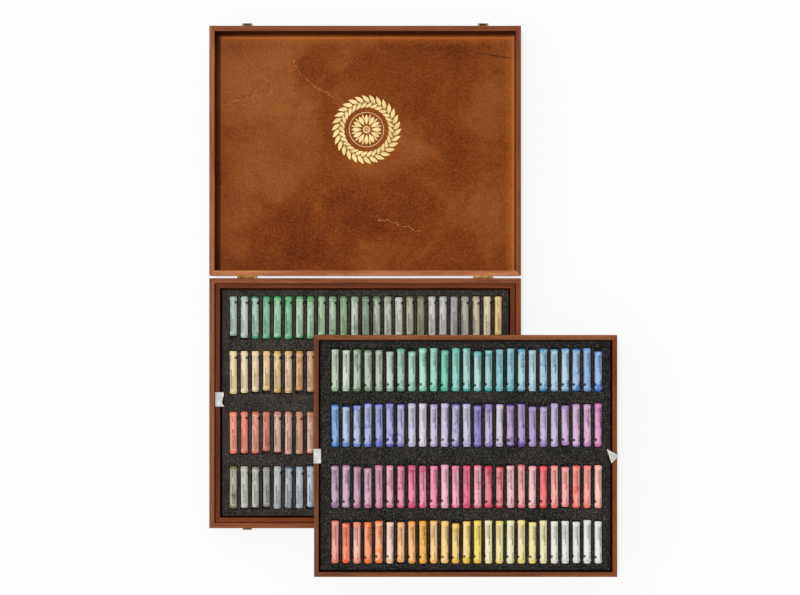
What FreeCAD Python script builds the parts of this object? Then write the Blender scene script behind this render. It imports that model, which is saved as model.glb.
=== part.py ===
import FreeCAD, Part
import os

# A flat wooden box for soft pastels, with a hinged lid and two like trays of 100 sticks.
# Sizes are in millimetres. The origin is the centre of the case's underside, +Z is up,
# and +Y runs from the case to the lid, which lies open, level with the case.
# One tray is seated in the case, and the other lies across the case's front right corner.

# Case and lid: four mitred boards each, round a panel that is let into a rebate.
case_width = 475.0
case_depth = 381.0
shell_height = 34.0
shell_wall = 8.0
shell_panel = 4.0
shell_rebate = 3.5
shell_rounding = 0.5
rim_gap = 0.3
back_gap = 3.6

# Hinges: screwed to the two back faces, with their barrel between them. An inset runs from
# the case's side to the middle of a hinge or a latch.
hinge_inset = 57.5
hinge_width = 30.0
hinge_reach = 17.0
leaf_thickness = 1.0
knuckle_count = 5
knuckle_gap = 0.3
hinge_pin_radius = 0.75
hinge_pin_end = 0.4
pin_clearance = 0.05
hinge_screw_offset = 9.0
hinge_screw_drop = 9.5

# Latches: a plate with two lugs and a hooked lever on the lid, a ridged strike on the case.
latch_inset = 57.5
latch_width = 16.0
latch_plate_thickness = 0.9
latch_plate_reach = 10.0
latch_pin_rise = 6.0
latch_pin_radius = 0.8
latch_barrel_radius = 1.7
latch_lug_width = 3.0
latch_gap = 0.3
latch_screw_drop = 6.0
latch_screw_offset = 4.5
lever_thickness = 1.1
lever_hook_depth = 1.1
lever_hook_grip = 0.6
lever_tab_length = 1.8
lever_tab_flare = 0.8
lever_hanging_angle = 180.0
strike_width = 14.0
strike_thickness = 0.8
strike_height = 10.0
strike_below_rim = 2.0
ridge_below_rim = 4.5
ridge_thickness = 1.2
ridge_height = 3.0
strike_screw_offset = 4.2
strike_screw_drop = 8.6

# Countersunk slotted screws.
hinge_screw_head_radius = 2.0
hinge_screw_shank_radius = 1.0
hinge_screw_length = 6.2
latch_screw_head_radius = 1.6
latch_screw_shank_radius = 0.75
latch_screw_length = 5.5
screw_clearance = 0.05
screw_slot_width = 0.4
screw_slot_depth = 0.3

# Trays: built as the case is, from thinner stock.
tray_wall = 7.0
tray_board = 3.0
tray_rebate = 3.0
tray_rounding = 0.5
tray_side_clearance = 1.0
tray_end_clearance = 0.4
tray_seat_gap = 0.3
tray_rim_drop = 3.7
upper_tray_right = 152.0
upper_tray_forward = 78.0

# Foam with one open pocket for each stick. Each bed is marked out by hand, so the lands at
# the two ends of its rows differ a little.
foam_drop = 7.0
foam_edge_gap = 2.5
pocket_clearance = 0.3
pocket_end_clearance = 0.5
pocket_land = 3.8
lower_foam_left_land = 10.75
lower_foam_right_land = 9.15
upper_foam_left_land = 15.75
upper_foam_right_land = 11.85
foam_end_land = 9.6
foam_middle_land = 26.6

# Sticks and their paper sleeves.
stick_radius = 5.8
stick_length = 65.0
stick_chamfer = 0.6
stick_sink = 2.0
sleeve_length = 58.0
sleeve_thickness = 0.2
sleeve_gap = 0.05

# Lifting ribbons, over the rim near the middle of each tray's two sides. They are glued on
# by eye, and the left one of the lower tray sits a little towards the back.
ribbon_width = 22.0
ribbon_thickness = 0.5
ribbon_gap = 0.1
ribbon_bottom = 2.0
lower_ribbon_flap = 15.0
lower_left_ribbon_shift = 5.5
upper_left_ribbon_flap = 11.4
upper_right_ribbon_flap = 17.0

# Sizes that follow from those above.
case_back = case_depth / 2
hinge_offset = case_width / 2 - hinge_inset
latch_offset = case_width / 2 - latch_inset
lid_back = case_back + back_gap
lid_middle = lid_back + case_depth / 2
lid_front = lid_back + case_depth
hinge_axis_y = case_back + back_gap / 2
hinge_axis_z = shell_height + rim_gap / 2
knuckle_radius = back_gap / 2 - knuckle_gap
latch_pin_out = latch_plate_thickness + latch_gap + latch_barrel_radius
latch_pin_z = shell_height - latch_pin_rise
hook_start = latch_pin_rise + rim_gap + ridge_below_rim + ridge_thickness + latch_gap
tray_width = case_width - 2 * (shell_wall + tray_side_clearance)
tray_depth = case_depth - 2 * (shell_wall + tray_end_clearance)
tray_height = shell_height - shell_panel - tray_seat_gap - tray_rim_drop
foam_width = tray_width - 2 * (tray_wall + foam_edge_gap)
foam_depth = tray_depth - 2 * (tray_wall + foam_edge_gap)
foam_top = tray_height - foam_drop
sleeve_radius = stick_radius + sleeve_gap + sleeve_thickness
pocket_radius = sleeve_radius + pocket_clearance
pocket_length = stick_length + 2 * pocket_end_clearance
stick_axis_z = foam_top - stick_sink
inner_row_y = (foam_middle_land + pocket_length) / 2
outer_row_y = foam_depth / 2 - foam_end_land - pocket_length / 2
row_places = (outer_row_y, inner_row_y, -inner_row_y, -outer_row_y)

X_AXIS = FreeCAD.Vector(1, 0, 0)
Y_AXIS = FreeCAD.Vector(0, 1, 0)
Z_AXIS = FreeCAD.Vector(0, 0, 1)
ORIGIN = FreeCAD.Vector(0, 0, 0)

nodes = {}


def moved(shape, x=0.0, y=0.0, z=0.0):
    """A copy of the shape, moved."""
    copy = shape.copy()
    copy.translate(FreeCAD.Vector(x, y, z))
    return copy


def turned(shape, degrees, centre=ORIGIN, axis=Z_AXIS):
    """A copy of the shape, turned about an axis through a point."""
    copy = shape.copy()
    copy.rotate(centre, axis, degrees)
    return copy


def box_between(low, high):
    """A box from its lowest to its highest corner."""
    size = [high[i] - low[i] for i in range(3)]
    return Part.makeBox(*size, FreeCAD.Vector(*low))


def prism(points, along):
    """A closed outline of points, extruded along a vector."""
    outline = Part.makePolygon([FreeCAD.Vector(*point) for point in points + points[:1]])
    return Part.Face(outline).extrude(along)


def rod(radius, length, centre):
    """A round rod along X, centred at a point."""
    start = FreeCAD.Vector(centre[0] - length / 2, centre[1], centre[2])
    return Part.makeCylinder(radius, length, start, X_AXIS)


# ---- Mitred frames: the case, the lid and the trays ----

def mitred_wall(length, height, wall, rebate, panel, rounding):
    """A board along X with its outer face on y = 0, mitred ends and a rebate for the panel."""
    board = box_between((-length / 2, 0, 0), (length / 2, wall, height))
    rounded = []
    for edge in board.Edges:
        middle = edge.CenterOfMass
        runs_along = abs(middle.x) < length / 4
        lies_inside_at_the_bottom = middle.z < height / 2 and middle.y > wall / 2
        if runs_along and not lies_inside_at_the_bottom:
            rounded.append(edge)
    board = board.makeFillet(rounding, rounded)
    mitre = prism([(-length / 2, 0, 0), (length / 2, 0, 0),
                   (length / 2 - wall, wall, 0), (wall - length / 2, wall, 0)], Z_AXIS * height)
    seat = box_between((-length / 2, wall - rebate, 0), (length / 2, wall, panel))
    return board.common(mitre).cut(seat)


def frame_walls(width, depth, height, wall, rebate, panel, rounding):
    """The four walls of a frame that is centred on the origin and stands on z = 0."""
    long_wall = mitred_wall(width, height, wall, rebate, panel, rounding)
    short_wall = mitred_wall(depth, height, wall, rebate, panel, rounding)
    return {"front": moved(long_wall, y=-depth / 2),
            "back": moved(turned(long_wall, 180), y=depth / 2),
            "left": moved(turned(short_wall, -90), x=-width / 2),
            "right": moved(turned(short_wall, 90), x=width / 2)}


def panel_in_frame(width, depth, wall, rebate, panel):
    """The panel that fills the rebate of a frame."""
    half_width = width / 2 - wall + rebate
    half_depth = depth / 2 - wall + rebate
    return box_between((-half_width, -half_depth, 0), (half_width, half_depth, panel))


def make_shell(name, panel_name, centre_y, swapped):
    """The case or the lid. On the opened lid the front and back walls are swapped."""
    shell = (shell_wall, shell_rebate, shell_panel)
    walls = frame_walls(case_width, case_depth, shell_height, *shell, shell_rounding)
    for side, board in walls.items():
        nodes[f"{name}_{swapped.get(side, side)}_wall"] = moved(board, y=centre_y)
    nodes[panel_name] = moved(panel_in_frame(case_width, case_depth, *shell), y=centre_y)


# ---- Screws ----

def countersunk_screw(head_radius, shank_radius, head_depth, length, slotted=True):
    """A screw along -Y with its flat head flush with y = 0."""
    head = Part.makeCone(head_radius, shank_radius, head_depth, ORIGIN, -Y_AXIS)
    shank = Part.makeCylinder(shank_radius, length, ORIGIN, -Y_AXIS)
    screw = head.fuse(shank)
    if slotted:
        slot = box_between((-head_radius, -screw_slot_depth, -screw_slot_width / 2),
                           (head_radius, 0, screw_slot_width / 2))
        screw = screw.cut(slot)
    return screw


def hinge_screw(slotted=True):
    grow = 0.0 if slotted else screw_clearance
    return countersunk_screw(hinge_screw_head_radius + grow, hinge_screw_shank_radius + grow,
                             leaf_thickness, hinge_screw_length + grow, slotted)


def latch_screw(head_depth, slotted=True):
    grow = 0.0 if slotted else screw_clearance
    return countersunk_screw(latch_screw_head_radius + grow, latch_screw_shank_radius + grow,
                             head_depth, latch_screw_length + grow, slotted)


def fasten(screws_name, places, make_screw, facing, pierced):
    """Screws at the places, and their holes in the pierced nodes.

    facing is 0 where the heads face +Y and 180 where they face -Y.
    """
    screws = [moved(turned(make_screw(), facing), *place) for place in places]
    holes = [moved(turned(make_screw(slotted=False), facing), *place) for place in places]
    for name in pierced:
        nodes[name] = nodes[name].cut(Part.makeCompound(holes))
    nodes[screws_name] = Part.makeCompound(screws)


# ---- Hinges ----

def hinge_leaf(own_knuckles):
    """A leaf on the case's back face with its own knuckles, centred on x = 0."""
    knuckle_length = (hinge_width - (knuckle_count - 1) * knuckle_gap) / knuckle_count
    plate_top = hinge_axis_z - knuckle_radius - knuckle_gap
    leaf = box_between((-hinge_width / 2, case_back, hinge_axis_z - hinge_reach),
                       (hinge_width / 2, case_back + leaf_thickness, plate_top))
    for index in own_knuckles:
        start = -hinge_width / 2 + index * (knuckle_length + knuckle_gap)
        tab = box_between((start, case_back, plate_top),
                          (start + knuckle_length, case_back + leaf_thickness, hinge_axis_z))
        middle = (start + knuckle_length / 2, hinge_axis_y, hinge_axis_z)
        leaf = leaf.fuse([tab, rod(knuckle_radius, knuckle_length, middle)])
    bore = rod(hinge_pin_radius + pin_clearance, 2 * hinge_width, (0, hinge_axis_y, hinge_axis_z))
    return leaf.cut(bore).removeSplitter()


def make_hinges():
    case_leaf = hinge_leaf(range(0, knuckle_count, 2))
    lid_leaf = hinge_leaf(range(1, knuckle_count, 2))
    lid_leaf = turned(lid_leaf, 180, FreeCAD.Vector(0, hinge_axis_y, 0))
    pin = rod(hinge_pin_radius, hinge_width + 2 * hinge_pin_end, (0, hinge_axis_y, hinge_axis_z))
    screw_z = hinge_axis_z - hinge_screw_drop
    case_places = []
    lid_places = []
    for side, sign in (("left", -1), ("right", 1)):
        x = sign * hinge_offset
        nodes[f"{side}_hinge_case_leaf"] = moved(case_leaf, x=x)
        nodes[f"{side}_hinge_lid_leaf"] = moved(lid_leaf, x=x)
        nodes[f"{side}_hinge_pin"] = moved(pin, x=x)
        for offset in (-hinge_screw_offset, hinge_screw_offset):
            case_places.append((x + offset, case_back + leaf_thickness, screw_z))
            lid_places.append((x + offset, lid_back - leaf_thickness, screw_z))
    fasten("hinge_case_screws", case_places, hinge_screw, 0,
           ["left_hinge_case_leaf", "right_hinge_case_leaf", "case_back_wall"])
    fasten("hinge_lid_screws", lid_places, hinge_screw, 180,
           ["left_hinge_lid_leaf", "right_hinge_lid_leaf", "lid_back_wall"])


# ---- Latches ----

def latch_plate():
    """The plate on the lid's front face with its two lugs, centred on x = 0."""
    half = latch_width / 2
    pin_y = lid_front + latch_pin_out
    plate = box_between((-half, lid_front, latch_pin_z - latch_plate_reach),
                        (half, lid_front + latch_plate_thickness,
                         latch_pin_z + latch_barrel_radius))
    for sign in (-1, 1):
        middle = sign * (half - latch_lug_width / 2)
        web = box_between((middle - latch_lug_width / 2, lid_front,
                           latch_pin_z - latch_barrel_radius),
                          (middle + latch_lug_width / 2, pin_y,
                           latch_pin_z + latch_barrel_radius))
        lug = rod(latch_barrel_radius, latch_lug_width, (middle, pin_y, latch_pin_z))
        plate = plate.fuse([web, lug])
    bore = rod(latch_pin_radius + pin_clearance, 2 * latch_width, (0, pin_y, latch_pin_z))
    return plate.cut(bore).removeSplitter()


def latch_lever():
    """The hooked lever, centred on x = 0, hanging from its pin as it does on the opened lid."""
    width = latch_width - 2 * (latch_lug_width + latch_gap)
    pin_y = lid_front + latch_pin_out
    inner = lid_front + ridge_height + latch_gap
    outer = inner + lever_thickness
    hook_tip = lid_front + ridge_height - lever_hook_grip
    hook_z = latch_pin_z + hook_start
    hook_end = hook_z + lever_hook_depth
    tab_end = hook_end + lever_tab_length
    outline = [(inner, latch_pin_z), (inner, hook_z), (hook_tip, hook_z), (hook_tip, hook_end),
               (inner, hook_end), (inner + lever_tab_flare, tab_end),
               (outer + lever_tab_flare, tab_end), (outer, hook_end), (outer, latch_pin_z)]
    strap = prism([(-width / 2, y, z) for y, z in outline], X_AXIS * width)
    barrel = rod(latch_barrel_radius, width, (0, pin_y, latch_pin_z))
    bore = rod(latch_pin_radius + pin_clearance, 2 * width, (0, pin_y, latch_pin_z))
    lever = strap.fuse(barrel).cut(bore).removeSplitter()
    return turned(lever, -lever_hanging_angle, FreeCAD.Vector(0, pin_y, latch_pin_z), X_AXIS)


def latch_strike():
    """The strike on the case's front face, centred on x = 0."""
    half = strike_width / 2
    top = shell_height - strike_below_rim
    ridge_top = shell_height - ridge_below_rim
    plate = box_between((-half, -case_back - strike_thickness, top - strike_height),
                        (half, -case_back, top))
    ridge = box_between((-half, -case_back - ridge_height, ridge_top - ridge_thickness),
                        (half, -case_back, ridge_top))
    return plate.fuse(ridge).removeSplitter()


def plate_screw(slotted=True):
    return latch_screw(latch_plate_thickness, slotted)


def strike_screw(slotted=True):
    return latch_screw(strike_thickness, slotted)


def make_latches():
    pin_y = lid_front + latch_pin_out
    pin = rod(latch_pin_radius, latch_width, (0, pin_y, latch_pin_z))
    plate_places = []
    strike_places = []
    for side, sign in (("left", -1), ("right", 1)):
        x = sign * latch_offset
        nodes[f"{side}_latch_plate"] = moved(latch_plate(), x=x)
        nodes[f"{side}_latch_pin"] = moved(pin, x=x)
        nodes[f"{side}_latch_lever"] = moved(latch_lever(), x=x)
        nodes[f"{side}_latch_strike"] = moved(latch_strike(), x=x)
        for offset in (-1, 1):
            plate_places.append((x + offset * latch_screw_offset,
                                 lid_front + latch_plate_thickness,
                                 latch_pin_z - latch_screw_drop))
            strike_places.append((x + offset * strike_screw_offset,
                                  -case_back - strike_thickness,
                                  shell_height - strike_screw_drop))
    fasten("latch_plate_screws", plate_places, plate_screw, 0,
           ["left_latch_plate", "right_latch_plate", "lid_front_wall"])
    fasten("latch_strike_screws", strike_places, strike_screw, 180,
           ["left_latch_strike", "right_latch_strike", "case_front_wall"])


# ---- Trays ----

def stick_columns(left_land, right_land):
    """The places along X of the sticks of a row, spaced evenly between the end lands."""
    first = -foam_width / 2 + left_land + pocket_radius
    last = foam_width / 2 - right_land - pocket_radius
    steps = int((last - first) / (2 * pocket_radius + pocket_land))
    return [first + (last - first) * index / steps for index in range(steps + 1)]


def row_of(shape, columns, row_y):
    """One copy of a shape for each stick of a row."""
    return Part.makeCompound([moved(shape, x, row_y, stick_axis_z) for x in columns])


def stick():
    """A pressed stick along Y, centred on the origin, with broken edges at its ends."""
    start = FreeCAD.Vector(0, -stick_length / 2, 0)
    core = Part.makeCylinder(stick_radius, stick_length, start, Y_AXIS)
    rims = [edge for edge in core.Edges if isinstance(edge.Curve, Part.Circle)]
    return core.makeChamfer(stick_chamfer, rims)


def sleeve():
    """The paper sleeve round the middle of a stick."""
    start = FreeCAD.Vector(0, -sleeve_length / 2, 0)
    outside = Part.makeCylinder(sleeve_radius, sleeve_length, start, Y_AXIS)
    inside = Part.makeCylinder(stick_radius + sleeve_gap, sleeve_length, start, Y_AXIS)
    return outside.cut(inside)


def pocket():
    """The room that is cut for a stick, round below and open above."""
    start = FreeCAD.Vector(0, -pocket_length / 2, 0)
    trough = Part.makeCylinder(pocket_radius, pocket_length, start, Y_AXIS)
    mouth = box_between((-pocket_radius, -pocket_length / 2, 0),
                        (pocket_radius, pocket_length / 2, foam_drop))
    return trough.fuse(mouth)


def foam(columns):
    """The foam block with one pocket for each stick."""
    block = box_between((-foam_width / 2, -foam_depth / 2, tray_board),
                        (foam_width / 2, foam_depth / 2, foam_top))
    for row_y in row_places:
        block = block.cut(row_of(pocket(), columns, row_y))
    return block


def ribbon(sign, flap, shift=0.0):
    """A ribbon up the outside of a side wall and over the rim; sign is -1 on the left."""
    wall_face = tray_width / 2 + ribbon_gap
    over_rim = tray_height + ribbon_gap
    outline = [(wall_face, ribbon_bottom),
               (wall_face + ribbon_thickness, ribbon_bottom),
               (wall_face + ribbon_thickness, over_rim + ribbon_thickness),
               (wall_face + ribbon_thickness - flap, over_rim + ribbon_thickness),
               (wall_face + ribbon_thickness - flap, over_rim),
               (wall_face, over_rim)]
    strip = prism([(x, -ribbon_width / 2, z) for x, z in outline], Y_AXIS * ribbon_width)
    return moved(strip if sign > 0 else turned(strip, 180), y=shift)


def make_tray(name, place, lands, left_ribbon, right_ribbon):
    """A tray with its foam, sticks, sleeves and ribbons, at its place."""
    stock = (tray_wall, tray_rebate, tray_board)
    columns = stick_columns(*lands)
    pieces = {"board": panel_in_frame(tray_width, tray_depth, *stock),
              "foam": foam(columns),
              "left_ribbon": left_ribbon,
              "right_ribbon": right_ribbon}
    walls = frame_walls(tray_width, tray_depth, tray_height, *stock, tray_rounding)
    for side, board in walls.items():
        pieces[f"{side}_wall"] = board
    for number, row_y in enumerate(row_places, start=1):
        pieces[f"sticks_row_{number}"] = row_of(stick(), columns, row_y)
        pieces[f"labels_row_{number}"] = row_of(sleeve(), columns, row_y)
    for piece, shape in pieces.items():
        nodes[f"{name}_{piece}"] = moved(shape, *place)


make_shell("case", "case_floor_panel", 0.0, {})
make_shell("lid", "lid_panel", lid_middle, {"front": "back", "back": "front"})
make_hinges()
make_latches()
make_tray("lower_tray", (0.0, 0.0, shell_panel + tray_seat_gap),
          (lower_foam_left_land, lower_foam_right_land),
          ribbon(-1, lower_ribbon_flap, lower_left_ribbon_shift), ribbon(1, lower_ribbon_flap))
make_tray("upper_tray", (upper_tray_right, -upper_tray_forward, shell_height + rim_gap),
          (upper_foam_left_land, upper_foam_right_land),
          ribbon(-1, upper_left_ribbon_flap), ribbon(1, upper_right_ribbon_flap))

os.makedirs("parts", exist_ok=True)
for name, shape in nodes.items():
    shape.exportStep(f"parts/{name}.step")
    print(name, len(shape.Solids), round(shape.Volume, 1), shape.isValid())
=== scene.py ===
import math
import random
from functools import reduce
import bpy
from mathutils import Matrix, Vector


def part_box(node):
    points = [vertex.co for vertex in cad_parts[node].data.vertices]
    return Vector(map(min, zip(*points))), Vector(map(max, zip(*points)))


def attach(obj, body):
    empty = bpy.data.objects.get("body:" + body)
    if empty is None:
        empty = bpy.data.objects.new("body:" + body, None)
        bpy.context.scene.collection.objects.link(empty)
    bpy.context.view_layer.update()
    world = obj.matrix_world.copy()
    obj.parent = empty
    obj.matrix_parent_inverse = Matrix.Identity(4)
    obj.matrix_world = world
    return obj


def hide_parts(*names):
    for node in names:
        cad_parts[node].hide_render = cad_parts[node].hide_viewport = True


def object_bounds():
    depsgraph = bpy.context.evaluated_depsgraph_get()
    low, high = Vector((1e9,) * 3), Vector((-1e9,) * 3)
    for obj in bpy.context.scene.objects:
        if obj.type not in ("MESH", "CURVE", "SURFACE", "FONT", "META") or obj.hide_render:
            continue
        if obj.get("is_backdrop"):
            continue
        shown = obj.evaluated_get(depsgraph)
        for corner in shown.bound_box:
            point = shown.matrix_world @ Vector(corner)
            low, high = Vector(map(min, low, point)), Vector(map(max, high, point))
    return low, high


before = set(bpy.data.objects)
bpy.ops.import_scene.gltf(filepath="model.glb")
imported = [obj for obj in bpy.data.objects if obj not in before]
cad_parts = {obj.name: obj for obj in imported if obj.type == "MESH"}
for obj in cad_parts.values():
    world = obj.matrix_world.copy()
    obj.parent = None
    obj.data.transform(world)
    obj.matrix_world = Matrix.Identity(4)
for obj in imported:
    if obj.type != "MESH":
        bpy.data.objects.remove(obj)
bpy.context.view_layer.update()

from types import SimpleNamespace

import bpy
from mathutils import Matrix, Vector, noise

MM = 0.001

# ----------------------------------------
# Boards of the case and the lid.
# Four beech boards each, mitred and glued at the corners, with softly rounded edges.
# They are stained red-brown, and the varnish is thin enough to leave the pores open.
# Their inner faces are painted darker as shade, and each board's tint is partly painted light and
# shade.
# ----------------------------------------


def paint(red, green, blue):
    """A colour as a paint shop gives it, 0 to 255 a channel, in linear light."""
    channels = [value / 255 for value in (red, green, blue)]
    return tuple(((c + 0.055) / 1.055) ** 2.4 if c > 0.04 else c / 12.92
                 for c in channels) + (1.0,)


class Value:
    """What a node puts out, to be reckoned with in plain sums."""

    def __init__(self, node, output=0):
        self.socket = node.outputs[output]

    def __add__(self, other):
        return reckoned("ADD", self, other)

    __radd__ = __add__

    def __sub__(self, other):
        return reckoned("SUBTRACT", self, other)

    def __mul__(self, other):
        return reckoned("MULTIPLY", self, other)

    def __truediv__(self, other):
        return reckoned("DIVIDE", self, other)

    def __abs__(self):
        return reckoned("ABSOLUTE", self)


def fill(node, sockets):
    """Sets a node's sockets, or links them to values."""
    for key, value in sockets.items():
        if isinstance(value, Value):
            node.id_data.links.new(value.socket, node.inputs[key])
        else:
            node.inputs[key].default_value = value


def put(kind, sockets=(), tree=None, **settings):
    """A new node, in the tree of the values that it takes where no tree is named."""
    sockets = dict(sockets)
    taken = [value for value in sockets.values() if isinstance(value, Value)]
    node = (tree or taken[0].socket.id_data).nodes.new(kind)
    for name, value in settings.items():
        setattr(node, name, value)
    fill(node, sockets)
    return node


def reckoned(operation, *values):
    """The result of a Math node, or of a Vector Math node where a value is a vector."""
    vectors = any(isinstance(value, tuple)
                  or isinstance(value, Value) and value.socket.type == "VECTOR"
                  for value in values)
    kind = "ShaderNodeVectorMath" if vectors else "ShaderNodeMath"
    node = put(kind, enumerate(values), operation=operation)
    return Value(node, "Value" if operation in ("DOT_PRODUCT", "LENGTH") else 0)


def parts(vector):
    """The X, Y and Z of a vector."""
    node = put("ShaderNodeSeparateXYZ", {0: vector})
    return [Value(node, axis) for axis in range(3)]


def graded(value, low, high, to_low=0.0, to_high=1.0):
    """A value moved from one range to another, and held at its ends."""
    return Value(put("ShaderNodeMapRange", {0: value, 1: low, 2: high, 3: to_low, 4: to_high}))


def mixed(share, first, second):
    """Two colours mixed by a share."""
    return Value(put("ShaderNodeMix", {0: share, 6: first, 7: second}, data_type="RGBA"), 2)


def cloudy(place, scale, detail=3.0, roughness=0.55, distortion=0.0, output=0):
    """A noise value at a place."""
    return Value(put("ShaderNodeTexNoise", {
        "Vector": place, "Scale": scale, "Detail": detail, "Roughness": roughness,
        "Distortion": distortion}), output)


def bumped(height, depth, strength=1.0):
    """A surface normal for a height, in metres of depth."""
    return Value(put("ShaderNodeBump", {"Height": height, "Distance": depth,
                                        "Strength": strength}))


def surface(tree, what):
    """Each point's Object place, or the Normal way in which it faces."""
    return Value(put("ShaderNodeTexCoord", tree=tree), what)


def rubbed(tree, wear):
    """The mask of rubbed edges, by how worn they are."""
    return Value(put("ShaderNodeGroup", {0: wear}, tree, node_tree=RUBBED_EDGE))


def new_finish(name):
    """A material, and the place on its piece at which its patterns are read."""
    material = bpy.data.materials.new(name)
    material.use_nodes = True
    return material, surface(material.node_tree, "Object")


def finished(material, sockets):
    """A material, with the sockets of its shader filled in."""
    fill(material.node_tree.nodes["Principled BSDF"], sockets)
    return material


def dress(names, material):
    """Gives the frame's own nodes their finish."""
    for name in names:
        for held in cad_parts[name].material_slots:
            held.material = material


def new_group(name, kind, inputs, outputs):
    """A node group, the values that it is given, and the node that takes its results."""
    tree = bpy.data.node_groups.new(name, f"{kind}NodeTree")
    for way, sockets in (("INPUT", inputs), ("OUTPUT", outputs)):
        for socket, what in sockets.items():
            tree.interface.new_socket(socket, in_out=way, socket_type=f"NodeSocket{what}")
    entry = tree.nodes.new("NodeGroupInput")
    return (tree, {socket: Value(entry, socket) for socket in inputs},
            tree.nodes.new("NodeGroupOutput"))


FIGURE_STRETCH, PORE_STRETCH = (9.0, 190.0, 190.0), (130.0, 1900.0, 1900.0)


def wood_grain():
    """Node group: long figure, short pores, soft blotches and a height, with grain along X."""
    names = ("Figure", "Pores", "Blotches", "Height")
    tree, given, ends = new_group("wood grain", "Shader", {"Vector": "Vector"},
                                  dict.fromkeys(names, "Float"))
    place = given["Vector"]
    figure = cloudy(place * FIGURE_STRETCH, 1.0, 5.0, 0.62, 0.35)
    pores = graded(cloudy(place * PORE_STRETCH, 1.0, 2.0), 0.58, 0.70)
    blotches = graded(cloudy(place, 22.0, 4.0, 0.6, 0.3), 0.32, 0.70)
    fill(ends, dict(zip(names, (figure, pores, blotches, figure * 0.4 - pores))))
    return tree


def rubbed_edge():
    """Node group: a mask of the rounded edges, where hands rub the stain thin."""
    tree, given, ends = new_group("rubbed edge", "Shader", {"Wear": "Float"}, {"Mask": "Float"})
    x, y, z = parts(surface(tree, "Normal"))
    turned = (abs(x) + abs(y)) * abs(z)
    worn = graded(cloudy(surface(tree, "Object"), 70.0, 4.0), 0.35, 0.62)
    fill(ends, {"Mask": graded(turned, 0.15, 0.5) * worn * given["Wear"]})
    return tree


WOOD_GRAIN = wood_grain()
RUBBED_EDGE = rubbed_edge()
VARNISH_SHINE, BOARD_WEAR = 0.14, 0.7
BOX_PALE, BOX_DEEP, BOX_BARE = (172, 104, 64), (118, 58, 26), (196, 138, 98)
# Painted shade: the inner faces are mixed towards a near-black red-brown, as the shade inside the
# box.
PORE, INNER_PAINTED_SHADE = paint(40, 16, 8), paint(48, 13, 3)       # the inner faces are darker
INNER_SHADE_SHARE = 0.86
# Each board has its own share of red, green and blue that it sends back: partly its own
# stain, and partly painted light and shade.
BOX_BOARDS = (("case_front_wall", (0.96, 0.93, 0.86)), ("case_back_wall", (0.98, 0.96, 0.92)),
              ("case_left_wall", (0.98, 1.04, 1.08)), ("case_right_wall", (0.96, 0.87, 0.72)),
              ("lid_front_wall", (0.94, 0.90, 0.82)), ("lid_back_wall", (1.27, 1.36, 1.42)),
              ("lid_left_wall", (1.14, 1.20, 1.28)), ("lid_right_wall", (0.94, 0.83, 0.64)))


def stained_shaded_board(name, pale, deep, bare, grain_turn, inward):
    """Stained solid wood, with the grain turned about Z by an angle from X, and its inner face
    painted darker as shade.
    """
    material, where = new_finish(name)
    turned = Value(put("ShaderNodeMapping", {0: where, 2: (0, 0, grain_turn)}))
    grain = put("ShaderNodeGroup", {0: turned}, node_tree=WOOD_GRAIN)
    figure, pores, blotches, height = (Value(grain, result) for result in range(4))
    tone = mixed(graded(figure, 0.30, 0.72), deep, pale)
    tone = mixed(blotches * 0.35, tone, deep)
    tone = mixed(pores * 0.55, tone, PORE)
    tone = mixed(rubbed(material.node_tree, BOARD_WEAR), tone, bare)
    # Painted shade: faces turned inward are darkened, as the shade inside the box.
    inner = reckoned("DOT_PRODUCT", surface(material.node_tree, "Normal"), inward)
    tone = mixed(graded(inner, 0.5, 0.9, 0.0, INNER_SHADE_SHARE), tone, INNER_PAINTED_SHADE)
    return finished(material, {
        "Base Color": tone, "Roughness": graded(figure, 0.3, 0.7, 0.60, 0.48),
        "Specular IOR Level": VARNISH_SHINE, "Normal": bumped(height, 0.06 * MM, 0.8)})


def way_inward(board):
    """The way in which a board's inner face looks."""
    shell = board.rsplit("_", 2)[0]
    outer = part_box(f"{shell}_left_wall")[0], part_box(f"{shell}_right_wall")[1]
    axis = 0 if "left" in board or "right" in board else 1
    way = [0, 0, 0]
    way[axis] = math.copysign(1, sum(corner[axis] for corner in outer)
                              - sum(corner[axis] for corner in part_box(board)))
    return tuple(way)


def boards_stained_and_shaded(boards, pale, deep, bare):
    """Dresses each board of a frame in its own tint, partly stain and partly painted light and shade,
    with the grain along it.
    """
    for board, shade in boards:
        inward = way_inward(board)
        tones = [paint(*(min(255, value * share) for value, share in zip(tone, shade)))
                 for tone in (pale, deep, bare)]
        dress([board], stained_shaded_board(f"{board}_stain", *tones,
                                     math.radians(90) * abs(inward[0]), inward))


boards_stained_and_shaded(BOX_BOARDS, BOX_PALE, BOX_DEEP, BOX_BARE)

# ----------------------------------------
# Floor of the case and top of the lid.
# Thin plywood, let into a rebate of the boards and stained like them. The stain clouds,
# crackles in fine lines and darkens one streak. The cracks' lips are painted shaded and lit,
# and painted light glows orange along two of the lid's inner edges.
# ----------------------------------------

PLY_PALE, PLY_MIDDLE, PLY_DEEP = paint(164, 90, 34), paint(134, 62, 8), paint(106, 42, 0)
PLY_FLECK, PLY_PORE = paint(188, 108, 40), paint(64, 20, 0)
PLY_SHINE = 0.09
FLECK_STRETCH = (360.0, 420.0, 420.0)
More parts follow.
